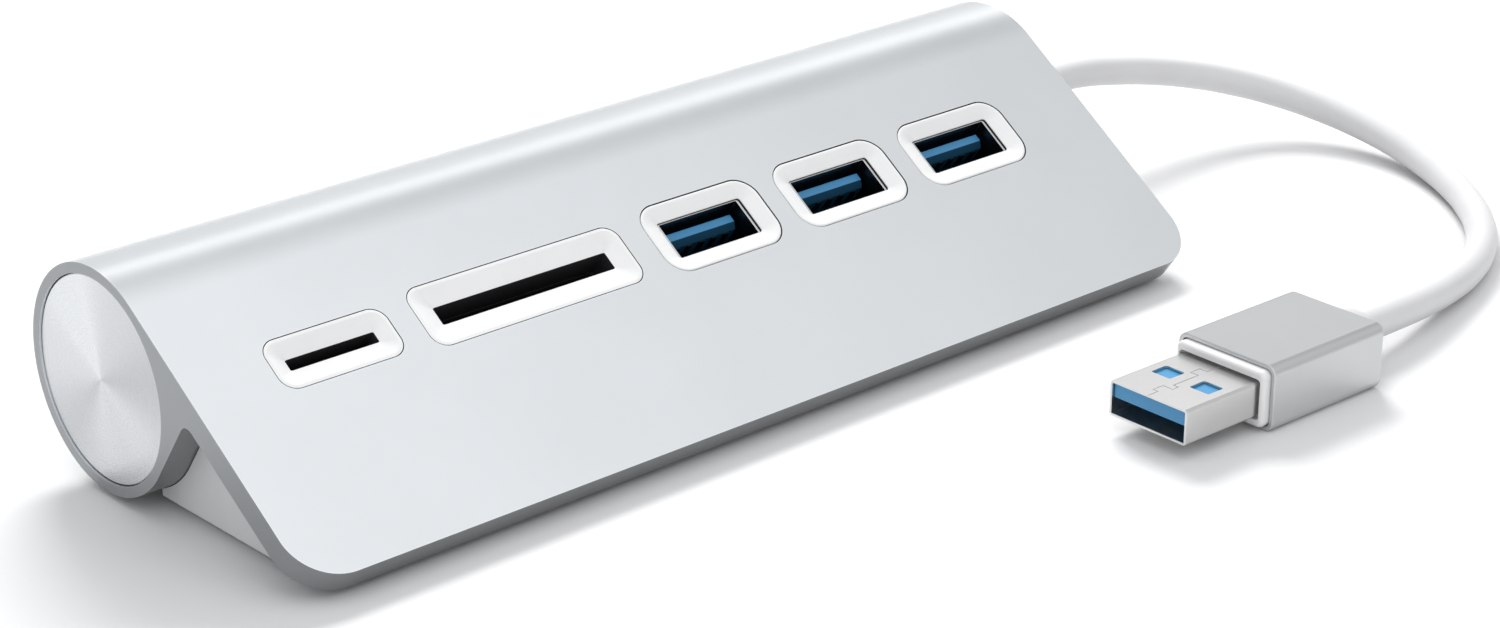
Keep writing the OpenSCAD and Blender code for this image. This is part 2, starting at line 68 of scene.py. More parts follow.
# The tube at the back of the body
SHELL_LOW, SHELL_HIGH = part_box("shell")
TUBE_RADIUS = 13.7 * MM
TUBE_CENTRE = Vector((0, SHELL_HIGH.y - TUBE_RADIUS, SHELL_HIGH.z - TUBE_RADIUS))
HALF_LENGTH = SHELL_HIGH.x
SLOPE_RADIUS = TUBE_RADIUS - 0.01 * MM
DISC_RECESS = 0.25 * MM

# Route of the cord, from the end disc to the boot of the plug
CORD_ROUTE = [
    (70.75, 12.828, 14.5), (78.75, 12.828, 14.5), (84, 12.8, 14.3), (90, 12.8, 14),
    (97, 12.5, 12.9), (104, 11.7, 11.5), (111, 10.1, 9.8), (117, 7.2, 8.1),
    (121.6, 2.8, 6.5), (124.4, -3.2, 5.1), (125.4, -10.5, 3.9), (124.6, -18, 3),
    (122.2, -25.2, 2.4), (118.6, -32, 2.15), (113.9, -38.4, 2.1), (108, -44.4, 2.1),
    (101.6, -49, 2.1), (94.4, -52.4, 2.2), (87, -54.7, 2.6), (79.6, -56.4, 3.3),
    (72, -57.5, 3.95), (64.3, -57.8, 4.25),
]


# Distance from the tip of the plug to the back of its moulding, where the boot starts
PLUG_BACK = 32.9 * MM


# ---------------------------------------------------------------- settings


class HubSizes(bpy.types.PropertyGroup):
    """Sizes of the visible pieces"""

    seam: FloatProperty(
        name="Seam", description="Gap round each port frame",
        default=0.12 * MM, min=0.05 * MM, max=0.3 * MM, subtype="DISTANCE", unit="LENGTH",
    )
    cord_diameter: FloatProperty(
        name="Cord diameter", description="Diameter of the cord",
        default=4.2 * MM, min=3 * MM, max=6 * MM, subtype="DISTANCE", unit="LENGTH",
    )
    tube_segments: IntProperty(
        name="Tube segments", description="Sides of the tube and of the turned discs",
        default=160, min=48, max=256,
    )


class HubColours(bpy.types.PropertyGroup):
    """Colours of the finishes, and the strength of their grain"""

    anodised: FloatVectorProperty(
        name="Anodised aluminium", description="Colour of the extrusion",
        default=(0.785, 0.81, 0.83), min=0, max=1, subtype="COLOR",
    )
    # The sawn ends have this darker cut finish; on the front edge of the plate the same colour is
    # painted shade
    cut_ends_and_edge_shade: FloatVectorProperty(
        name="Cut faces", description="Colour of the sawn ends and of the front edge",
        default=(0.335, 0.345, 0.355), min=0, max=1, subtype="COLOR",
    )
    turned: FloatVectorProperty(
        name="Turned aluminium", description="Colour of the end discs",
        default=(0.86, 0.875, 0.9), min=0, max=1, subtype="COLOR",
    )
    white: FloatVectorProperty(
        name="White plastic", description="Colour of the frames, the moulding and the cord",
        default=(0.7, 0.7, 0.7), min=0, max=1, subtype="COLOR",
    )
    blue: FloatVectorProperty(
        name="Blue plastic", description="Colour of the tongues and the insulator",
        default=(0.04, 0.22, 0.43), min=0, max=1, subtype="COLOR",
    )
    grain: FloatProperty(
        name="Grain", description="Strength of the fine blasted grain on the aluminium",
        default=0.12, min=0, max=1, subtype="FACTOR",
    )


class HubStudio(bpy.types.PropertyGroup):
    """Camera and light"""

    azimuth: FloatProperty(
        name="Azimuth", description="Direction of the camera round the hub",
        default=radians(-42.35), subtype="ANGLE",
    )
    elevation: FloatProperty(
        name="Elevation", description="Height of the camera above the horizon",
        default=radians(22.74), subtype="ANGLE",
    )
    lens: FloatProperty(
        name="Lens", description="Focal length of the camera in millimetres",
        default=80.9, min=20, max=200,
    )
    key: FloatProperty(
        name="Key light", description="Strength of the large light behind and above the hub",
        default=1.0, min=0, max=10,
    )
    sky: FloatProperty(
        name="Surroundings", description="Strength of the light from all round",
        default=1.0, min=0, max=4,
    )


# ---------------------------------------------------------------- modelling helpers


def clear_selection():
    """Object mode with nothing selected."""
    if bpy.context.object and bpy.context.object.mode != "OBJECT":
        bpy.ops.object.mode_set(mode="OBJECT")
    bpy.ops.object.select_all(action="DESELECT")


def choose(obj):
    """Makes obj the only selected object, and the active one."""
    clear_selection()
    obj.select_set(True)
    bpy.context.view_layer.objects.active = obj


def box_between(name, low, high):
    """A block between two corners."""
    clear_selection()
    low, high = Vector(low), Vector(high)
    bpy.ops.mesh.primitive_cube_add(size=1, location=(low + high) / 2)
    obj = bpy.context.object
    obj.name, obj.scale = name, high - low
    bpy.ops.object.transform_apply(location=True, rotation=True, scale=True)
    return obj


def pick(obj, kind, test):
    """Edit mode on obj, with the faces or edges that pass the test selected."""
    choose(obj)
    bpy.ops.object.mode_set(mode="EDIT")
    bpy.ops.mesh.select_mode(type=kind)
    bpy.ops.mesh.select_all(action="DESELECT")
    bpy.ops.object.mode_set(mode="OBJECT")
    mesh = obj.data
    if kind == "FACE":
        for face in mesh.polygons:
            face.select = test(face.center, face.normal)
    else:
        for edge in mesh.edges:
            edge.select = test(*(mesh.vertices[i].co for i in edge.vertices))
    bpy.ops.object.mode_set(mode="EDIT")


def pick_faces(obj, test):
    pick(obj, "FACE", test)


def pick_edges(obj, test):
    pick(obj, "EDGE", test)


def modify(obj, kind, **settings):
    """Adds a modifier to obj and applies it."""
    choose(obj)
    modifier = obj.modifiers.new(kind.title(), kind)
    for name, value in settings.items():
        setattr(modifier, name, value)
    bpy.ops.object.modifier_apply(modifier=modifier.name)


def combine(obj, tool, operation):
    """Joins tool to obj, or cuts it away, and removes it."""
    modify(obj, "BOOLEAN", operation=operation, object=tool, solver="EXACT")
    bpy.data.objects.remove(tool)


def soften(obj, width, segments=2, angle=30):
    """Rounds the sharp edges of obj and smooths what is left."""
    modify(
        obj, "BEVEL", width=width, segments=segments, limit_method="ANGLE",
        angle_limit=radians(angle), use_clamp_overlap=True, miter_outer="MITER_ARC",
    )
    finish_shading(obj)


def finish_shading(obj):
    """Smooth shading that keeps flat faces flat."""
    choose(obj)
    bpy.ops.object.shade_smooth_by_angle(angle=radians(40))
    modify(obj, "WEIGHTED_NORMAL", keep_sharp=True, weight=60)


def place(obj, matrix):
    """Moves obj by matrix, with the move kept in its mesh."""
    obj.matrix_world = matrix
    choose(obj)
    bpy.ops.object.transform_apply(location=True, rotation=True, scale=True)
    return obj


def slope_frame(origin):
    """X along the body, Y up the slope and Z out of it, at a point."""
    columns = (Vector((1, 0, 0)), SLOPE_UP, SLOPE_OUT)
    return Matrix.Translation(origin) @ Matrix(columns).transposed().to_4x4()


def along_x(origin, backwards=False):
    """A frame whose Z runs along X, or against it."""
    turn = -pi / 2 if backwards else pi / 2
    return Matrix.Translation(origin) @ Matrix.Rotation(turn, 4, "Y")


def merged_copy(name, node):
    """A copy of a frame node with its loose triangles joined into faces, and no material."""
    obj = frame["nodes"][node].copy()
    obj.data = frame["nodes"][node].data.copy()
    obj.parent, obj.name = None, name
    for key in list(obj.keys()):
        del obj[key]
    bpy.context.scene.collection.objects.link(obj)
    obj.hide_render = False
    choose(obj)
    bpy.ops.object.mode_set(mode="EDIT")
    bpy.ops.mesh.select_all(action="SELECT")
    bpy.ops.mesh.remove_doubles(threshold=0.002 * MM)
    bpy.ops.mesh.customdata_custom_splitnormals_clear()
    bpy.ops.mesh.dissolve_limited(angle_limit=radians(0.5))
    bpy.ops.object.mode_set(mode="OBJECT")
    obj.data.materials.clear()
    return obj


def turned_piece(name, steps, segments=64):
    """A round piece, drawn out along Z from one (distance, radius) step to the next."""
    clear_selection()
    start, radius = steps[0]
    bpy.ops.mesh.primitive_circle_add(
        vertices=segments, radius=radius, fill_type="NGON", location=(0, 0, start)
    )
    obj = bpy.context.object
    obj.name = name
    bpy.ops.object.transform_apply(location=True)
    bpy.ops.object.mode_set(mode="EDIT")
    bpy.ops.mesh.select_all(action="SELECT")
    for distance, wide in steps[1:]:
        bpy.ops.mesh.extrude_region_move(
            TRANSFORM_OT_translate={"value": (0, 0, distance - start)}
        )
        ratio = wide / radius
        bpy.ops.transform.resize(value=(ratio, ratio, 1), center_override=(0, 0, distance))
        start, radius = distance, wide
    bpy.ops.mesh.select_all(action="SELECT")
    bpy.ops.mesh.normals_make_consistent(inside=False)
    bpy.ops.object.mode_set(mode="OBJECT")
    return obj


def settle(obj, nodes, material):
    """Rides obj on the body in place of its frame nodes and material."""
    if material and not obj.data.materials:
        obj.data.materials.append(material)
    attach(obj, BODY)
    if nodes:
        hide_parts(*nodes)


# ---------------------------------------------------------------- shared effects


def shader_group(name, inputs, outputs):
    """An empty shader node group with its sockets, and its two end nodes."""
    group = bpy.data.node_groups.new(name, "ShaderNodeTree")
    for kind, sockets in (("INPUT", inputs), ("OUTPUT", outputs)):
        for label, socket, value in sockets:
            made = group.interface.new_socket(label, in_out=kind, socket_type=f"NodeSocket{socket}")
            if value is not None:
                made.default_value = value
    return group, group.nodes.new("NodeGroupInput"), group.nodes.new("NodeGroupOutput")


def node(tree, kind, links=None, **settings):
    """A node with its settings, and its input sockets linked or set."""
    made = tree.nodes.new(f"ShaderNode{kind}")
    for name, value in settings.items():
        setattr(made, name, value)
    for socket, value in (links or {}).items():
        if isinstance(value, bpy.types.NodeSocket):
            tree.links.new(value, made.inputs[socket])
        else:
            made.inputs[socket].default_value = value
    return made


def grain_group():
    """Fine blasted or moulded grain: a height, and a mask that wanders slowly over the surface."""
    group, start, end = shader_group(
        "Surface grain",
        [("Scale", "Float", 9000.0), ("Patch Scale", "Float", 60.0)],
        [("Height", "Float", None), ("Patches", "Float", None)],
    )
    where = node(group, "TexCoord")
    fine = node(
        group, "TexNoise",
        {"Vector": where.outputs["Object"], "Scale": start.outputs["Scale"], "Detail": 3.0,
         "Roughness": 0.6},
    )
    broad = node(
        group, "TexNoise",
        {"Vector": where.outputs["Object"], "Scale": start.outputs["Patch Scale"],
         "Detail": 4.0, "Roughness": 0.55},
    )
    shaped = node(
        group, "MapRange",
        {"Value": broad.outputs["Fac"], "From Min": 0.35, "From Max": 0.65},
    )
    group.links.new(fine.outputs["Fac"], end.inputs["Height"])
    group.links.new(shaped.outputs["Result"], end.inputs["Patches"])
    return group


def wear_group():
    """Painted edge highlight: a mask that is bright along convex edges and broken up by noise."""
    group, start, end = shader_group(
        "Edge wear", [("Width", "Float", 0.4 * MM), ("Break Up", "Float", 900.0)],
        [("Mask", "Float", None)],
    )
    rounded = node(group, "Bevel", {"Radius": start.outputs["Width"]}, samples=4)
    surface = node(group, "NewGeometry")
    turn = node(
        group, "VectorMath",
        {0: rounded.outputs["Normal"], 1: surface.outputs["Normal"]}, operation="DOT_PRODUCT",
    )
    edge = node(
        group, "MapRange",
        {"Value": turn.outputs["Value"], "From Min": 0.995, "From Max": 0.9},
    )
    where = node(group, "TexCoord")
    broken = node(
        group, "TexNoise",
        {"Vector": where.outputs["Object"], "Scale": start.outputs["Break Up"], "Detail": 3.0},
    )
    both = node(
        group, "Math", {0: edge.outputs["Result"], 1: broken.outputs["Fac"]}, operation="MULTIPLY"
    )
    group.links.new(both.outputs["Value"], end.inputs["Mask"])
    return group


GROUPS = {}


def effect(tree, name, **values):
    """A shared effect placed in a material, with its own values."""
    made = tree.nodes.new("ShaderNodeGroup")
    made.node_tree = GROUPS[name]
    for socket, value in values.items():
        made.inputs[socket.replace("_", " ")].default_value = value
    return made


# ---------------------------------------------------------------- materials

# Depth of the relief that a grain stands for
RELIEF = 0.02 * MM


def new_material(name, **plain):
    """A material with a Principled shader whose plain values are set, and its tree and shader."""
    material = bpy.data.materials.new(name)
    material.use_nodes = True
    shader = material.node_tree.nodes["Principled BSDF"]
    for socket, value in plain.items():
        label = socket.replace("_", " ").title().replace("Ior", "IOR")
        shader.inputs[label].default_value = (*value, 1) if isinstance(value, tuple) else value
    return material, material.node_tree, shader


def tint(colour, factor):
    """A colour made lighter or darker, as a shader colour."""
    return (*(min(1.0, channel * factor) for channel in colour), 1)


def varied_colour(tree, shader, mask, low, high):
    """Base colour between two, by a mask."""
    blend = node(tree, "Mix", {"Factor": mask}, data_type="RGBA")
    blend.inputs["A"].default_value, blend.inputs["B"].default_value = low, high
    tree.links.new(blend.outputs["Result"], shader.inputs["Base Color"])
    return blend


def varied_value(tree, socket, mask, low, high):
    """A shader value between two, by a mask."""
    spread = node(tree, "MapRange", {"Value": mask, "To Min": low, "To Max": high})
    tree.links.new(spread.outputs["Result"], socket)


def bumped(tree, shader, height, strength, distance):
    """A small relief on the surface."""
    bump = node(tree, "Bump", {"Height": height, "Strength": strength, "Distance": distance})
    tree.links.new(bump.outputs["Normal"], shader.inputs["Normal"])


def blasted_metal(name, colour, roughness, grain, scale=9000.0):
    """Clear-anodised, bead-blasted aluminium."""
    material, tree, shader = new_material(name, metallic=1.0)
    surface = effect(tree, "grain", Scale=scale, Patch_Scale=45.0)
    # Painted highlight: the colour is made lighter along convex edges, where a rounded edge would
    # catch the light
    edge_highlight = effect(tree, "wear", Width=0.35 * MM)
    base = varied_colour(
        tree, shader, surface.outputs["Patches"], tint(colour, 0.985), tint(colour, 1.015)
    )
    lit = node(
        tree, "Mix", {"Factor": edge_highlight.outputs["Mask"], "A": base.outputs["Result"]}, data_type="RGBA"
    )
    lit.inputs["B"].default_value = tint(colour, 1.18)
    tree.links.new(lit.outputs["Result"], shader.inputs["Base Color"])
    height = surface.outputs["Height"]
    varied_value(tree, shader.inputs["Roughness"], height, roughness - 0.05, roughness + 0.06)
    bumped(tree, shader, height, grain, RELIEF)
    return material


def plastic(name, colour, roughness, relief=0.05, scale=5000.0, **plain):
    """Moulded plastic with a fine texture and a slow change of gloss."""
    material, tree, shader = new_material(name, **plain)
    surface = effect(tree, "grain", Scale=scale, Patch_Scale=120.0)
    varied_colour(tree, shader, surface.outputs["Patches"], tint(colour, 0.975), tint(colour, 1.01))
    height = surface.outputs["Height"]
    varied_value(tree, shader.inputs["Roughness"], height, roughness - 0.04, roughness + 0.05)
    bumped(tree, shader, height, relief, RELIEF)
    return material


def make_materials(colours):
    """Every finish of the hub, by name. The ones inside the openings are darker than in life:
    painted shade.
    """
    GROUPS.update(grain=grain_group(), wear=wear_group())
    made = {
        "anodised": blasted_metal("anodised_aluminium", colours.anodised, 0.33, colours.grain),
        "cut": blasted_metal("cut_aluminium_and_edge_shade", colours.cut_ends_and_edge_shade, 0.42, colours.grain, 6000.0),
        "sleeve": blasted_metal(
            "sleeve_aluminium", (0.565, 0.575, 0.582), 0.42, colours.grain * 1.5
        ),
        "white": plastic("white_plastic", colours.white, 0.32),
        # Painted shade: the base is white plastic, made grey here for the shadow under the plate
        "base": plastic("base_plastic", (0.6, 0.605, 0.61), 0.5, 0.1),
        "cord": plastic("cord_jacket", (0.56, 0.56, 0.565), 0.42, 0.08, 3000.0),
        "blue": plastic("blue_plastic", colours.blue, 0.34),
        # Painted shade: the blue plastic darkened, for the tongues' faces that face down the slope
        "shaded_blue": plastic(
            "blue_plastic_painted_shade", tuple(0.21 * c for c in colours.blue), 0.5, specular_ior_level=0.05
        ),
        "dark_plastic_and_shade": plastic("dark_plastic", (0.02, 0.02, 0.022), 0.5),
        "chip": plastic("chip_plastic", (0.015, 0.015, 0.016), 0.6, 0.1),
        "board": plastic("board_laminate", (0.02, 0.16, 0.07), 0.35),
        "ceramic": plastic("ceramic", (0.4, 0.28, 0.17), 0.5),
        "wire": plastic("wire_insulation", (0.45, 0.03, 0.03), 0.4),
        "rubber": plastic("rubber", (0.35, 0.355, 0.36), 0.75, 0.2),
        "gilt": drawn_metal("gilt", (0.83, 0.6, 0.25), 0.25),
        "steel": drawn_metal("plated_steel", (0.66, 0.66, 0.66), 0.25),
        "plug": blasted_metal("plug_steel", (0.62, 0.62, 0.612), 0.3, 0.02),
        "screw": drawn_metal("screw_steel", (0.55, 0.55, 0.56), 0.3),
        # Painted shade: the inside of the USB port shells, as near-black steel
        "port": drawn_metal("port_steel_painted_shade", (0.05, 0.058, 0.065), 0.35),
        # Painted shade: gold contacts inside the ports and the plug, given a near-black colour
        "contacts_painted_shade": drawn_metal("contacts_painted_shade", (0.015, 0.02, 0.022), 0.5),
        "turned": turned_metal(colours.turned),
    }
    return made


def drawn_metal(name, colour, roughness):
    """Plated sheet metal with faint rolling lines."""
    material, tree, shader = new_material(name, metallic=1.0)
    where = node(tree, "TexCoord")
    drawn = node(
        tree, "Mapping", {"Vector": where.outputs["Object"], "Scale": (60.0, 4000.0, 4000.0)}
    )
    lines = node(
        tree, "TexNoise",
        {"Vector": drawn.outputs["Vector"], "Scale": 1.0, "Detail": 2.0, "Roughness": 0.5},
    )
    surface = effect(tree, "grain", Scale=7000.0, Patch_Scale=300.0)
    varied_colour(tree, shader, surface.outputs["Patches"], tint(colour, 0.96), tint(colour, 1.03))
    varied_value(
        tree, shader.inputs["Roughness"], lines.outputs["Fac"], roughness - 0.02, roughness + 0.03
    )
    return material


# The painted fan of light on a turned disc, as lighter and darker sectors of its colour: how many
# lobes, how far they are turned, and their weight
FAN_OF_PAINTED_LIGHT = ((2.0, -1.92, 1.0), (1.0, -0.7, 0.6), (5.0, 1.0, 0.3))


def turned_metal(colour):
    """Spun aluminium: fine rings round the axis, and a painted reflection, the fan of light that
    the rings spread, as lighter and darker sectors of the colour.
    """
    material, tree, shader = new_material(
        "turned_aluminium", metallic=1.0, roughness=0.3, anisotropic=0.75
    )
    where = node(tree, "TexCoord")
    centred = node(
        tree, "VectorMath",
        {0: where.outputs["Object"], 1: (0, TUBE_CENTRE.y, TUBE_CENTRE.z)}, operation="SUBTRACT",
    )
    flat = node(
        tree, "VectorMath", {0: centred.outputs["Vector"], 1: (0, 1, 1)}, operation="MULTIPLY"
    )
    radius = node(tree, "VectorMath", {0: flat.outputs["Vector"]}, operation="LENGTH")
    rings = node(
        tree, "TexNoise",
        {"W": radius.outputs["Value"], "Scale": 9000.0, "Detail": 4.0, "Roughness": 0.65},
        noise_dimensions="1D",
    )
    parts = node(tree, "SeparateXYZ", {"Vector": flat.outputs["Vector"]})
    angle = node(
        tree, "Math", {0: parts.outputs["Z"], 1: parts.outputs["Y"]}, operation="ARCTAN2"
    )
    fan = None
    for lobes, turn, weight in FAN_OF_PAINTED_LIGHT:
        turned = node(
            tree, "Math", {0: angle.outputs["Value"], 1: lobes, 2: turn}, operation="MULTIPLY_ADD"
        )
        lobe = node(tree, "Math", {0: turned.outputs["Value"]}, operation="COSINE")
        before = fan.outputs["Value"] if fan else 0.0
        fan = node(
            tree, "Math", {0: lobe.outputs["Value"], 1: weight, 2: before}, operation="MULTIPLY_ADD"
        )
    fan_range = node(
        tree, "MapRange", {"Value": fan.outputs["Value"], "From Min": -1.4, "From Max": 1.4}
    )
    mixed = node(
        tree, "Math", {0: rings.outputs["Fac"], 1: 0.08, 2: fan_range.outputs["Result"]},
        operation="MULTIPLY_ADD",
    )
    # Painted reflection: the colour follows the fan round the centre, with the rings' grain over it
    varied_colour(tree, shader, mixed.outputs["Value"], tint(colour, 0.56), tint(colour, 0.86))
    varied_value(tree, shader.inputs["Roughness"], rings.outputs["Fac"], 0.2, 0.36)
    bumped(tree, shader, rings.outputs["Fac"], 0.02, 0.01 * MM)
    round_tangent = node(tree, "Tangent", direction_type="RADIAL", axis="X")
    tree.links.new(round_tangent.outputs["Tangent"], shader.inputs["Tangent"])
    return material


MATERIALS = {}


# ---------------------------------------------------------------- operators


class HUB_OT_stage(bpy.types.Operator):
    """Sets the floor, the lights and the camera"""

    bl_idname = "hub.stage"
    bl_label = "Studio"

    # Name, direction from the hub, size in metres, power in watts, and whether metal mirrors it
    LIGHTS = (
        ("key_light", (0.42, 0.6, 0.64), (0.5, 0.35), 14.5, False),
        ("fill_light", (0, -0.3, 0.95), (0.8, 0.8), 1.3, False),
        ("back_light", (0.62, 0.72, 0.3), (1.4, 0.45), 0.8, True),
        ("strip_light", (0.62, 0.535, 0.573), (1.2, 0.2), 0.95, True),
    )
    LIGHT_DISTANCE = 1.1
    CAMERA_PLACE = (-249.0, -290.3, 166.7)

    def execute(self, context):
        studio = context.scene.hub_studio
        self.floor()
        self.surroundings(context.scene, studio)
        for name, direction, size, power, mirrored in self.LIGHTS:
            light = self.softbox(name, direction, size, power * studio.key)
            light.visible_glossy = mirrored
        # The strip lies along the tube, so its highlight runs the whole length
        _, across, up = self.LIGHTS[-1][1]
        light.rotation_euler = (-atan2(across, up), 0, 0)
        self.camera(context.scene, studio)
        return {"FINISHED"}

    @staticmethod
    def floor():
        clear_selection()
        bpy.ops.mesh.primitive_plane_add(size=6, location=(0, 0, 0))
        floor = bpy.context.object
        floor.name = "studio_floor"
        material, tree, shader = new_material("studio_paper", roughness=0.6)
        surface = effect(tree, "grain", Scale=900.0, Patch_Scale=4.0)
        varied_colour(
            tree, shader, surface.outputs["Patches"], (0.655, 0.655, 0.657, 1),
            (0.675, 0.675, 0.677, 1),
        )
        floor.data.materials.append(material)

    @staticmethod
    def surroundings(scene, studio):
        world = bpy.data.worlds.new("studio_surroundings")
        scene.world = world
        world.use_nodes = True
        tree = world.node_tree
        sky = tree.nodes["Background"]
        where = node(tree, "TexCoord")
        overhead = node(
            tree, "VectorMath", {0: where.outputs["Generated"], 1: (-0.3, -0.5, 0.81)},
            operation="DOT_PRODUCT",
        )
        height = node(
            tree, "MapRange",
            {"Value": overhead.outputs["Value"], "From Min": 0.28, "From Max": 0.63},
        )
        blend = node(tree, "Mix", {"Factor": height.outputs["Result"]}, data_type="RGBA")
        blend.inputs["A"].default_value = (0.51, 0.515, 0.52, 1)
        blend.inputs["B"].default_value = (1.14, 1.15, 1.16, 1)
        tree.links.new(blend.outputs["Result"], sky.inputs["Color"])
        sky.inputs["Strength"].default_value = studio.sky
        scene.view_settings.view_transform = "Standard"

    @staticmethod
    def softbox(name, direction, size, power):
        """A soft rectangular light, facing the hub."""
        data = bpy.data.lights.new(name, "AREA")
        data.shape = "RECTANGLE"
        data.size, data.size_y = size
        data.energy = power
        light = bpy.data.objects.new(name, data)
        direction = Vector(direction).normalized()
        light.location = direction * HUB_OT_stage.LIGHT_DISTANCE
        light.rotation_euler = direction.to_track_quat("Z", "Y").to_euler()
        bpy.context.scene.collection.objects.link(light)
        return light

    @staticmethod
    def camera(scene, studio):
        data = bpy.data.cameras.new("camera")
        data.lens, data.clip_start = studio.lens, 0.01
        camera = bpy.data.objects.new("camera", data)
        camera.location = Vector(HUB_OT_stage.CAMERA_PLACE) * MM
        camera.rotation_euler = (pi / 2 - studio.elevation, 0, studio.azimuth)
        scene.collection.objects.link(camera)
        scene.camera = camera


class HUB_OT_cord(bpy.types.Operator):
    """Lays the cord along its route, with its strain relief and the boot of the plug"""

    bl_idname = "hub.cord"
    bl_label = "Cord"

    def execute(self, context):
        sizes = context.scene.hub_sizes
        diameter = sizes.cord_diameter
        route = [Vector(point) * MM for point in CORD_ROUTE]
        data = bpy.data.curves.new("cord_jacket", "CURVE")
        data.dimensions, data.bevel_depth, data.bevel_resolution = "3D", diameter / 2, 8
        data.resolution_u, data.use_fill_caps = 8, True
        spline = data.splines.new("BEZIER")
        spline.bezier_points.add(len(route) - 1)
        for knot, point in zip(spline.bezier_points, route):
            knot.co, knot.handle_left_type, knot.handle_right_type = point, "AUTO", "AUTO"
        cord = bpy.data.objects.new("cord_jacket", data)
        context.scene.collection.objects.link(cord)
        data.materials.append(MATERIALS["cord"])
        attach(cord, BODY)
        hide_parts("cord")
        self.gland()
        self.boot()
        return {"FINISHED"}

    @staticmethod
    def gland():
        low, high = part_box("cord_gland")
        whole = high.x - low.x
        face, tip = (HALF_LENGTH - DISC_RECESS - low.x) / MM, whole / MM
        steps = [
            (0, 5.2), (1.6, 5.2), (1.6, 3.4), (face, 3.4), (face + 0.9, 3.38),
            (face + 2.4, 3.26), (face + 4.4, 3.06), (face + 6.2, 2.86),
            (tip - 0.5, 2.72), (tip - 0.16, 2.62), (tip, 2.4), (tip, 2.12),
        ]
        gland = turned_piece("strain_relief", [(z * MM, r * MM) for z, r in steps], 64)
        place(gland, along_x((low.x, TUBE_CENTRE.y, TUBE_CENTRE.z)))
        bore = turned_piece("bore", [(-MM, 2.1 * MM), (whole + MM, 2.1 * MM)], 48)
        place(bore, along_x((low.x, TUBE_CENTRE.y, TUBE_CENTRE.z)))
        combine(gland, bore, "DIFFERENCE")
        finish_shading(gland)
        settle(gland, ["cord_gland"], MATERIALS["cord"])

    @staticmethod
    def boot():
        steps = [
            (0, 3.15), (0.25, 3.4), (0.9, 3.55), (2.4, 3.55), (3.1, 3.45), (3.7, 3.25),
            (4.2, 3.0), (4.7, 2.75), (5.05, 2.6), (5.1, 2.2),
        ]
        boot = turned_piece("plug_boot_soft", [(z * MM, r * MM) for z, r in steps], 64)
        place(boot, plug_frame() @ along_x((PLUG_BACK, 0, 0)))
        finish_shading(boot)
        settle(boot, ["plug_boot"], MATERIALS["cord"])


def plug_frame():
    """X from the tip of the plug to its cord, Y across, Z up."""
    mount = MOUNTS["usb_plug"]
    back = -Vector(mount["axis"]).normalized()
    side = Vector((0, 0, 1)).cross(back)
    turn = Matrix((back, side, Vector((0, 0, 1)))).transposed().to_4x4()
    return Matrix.Translation(mount["pos_m"]) @ turn


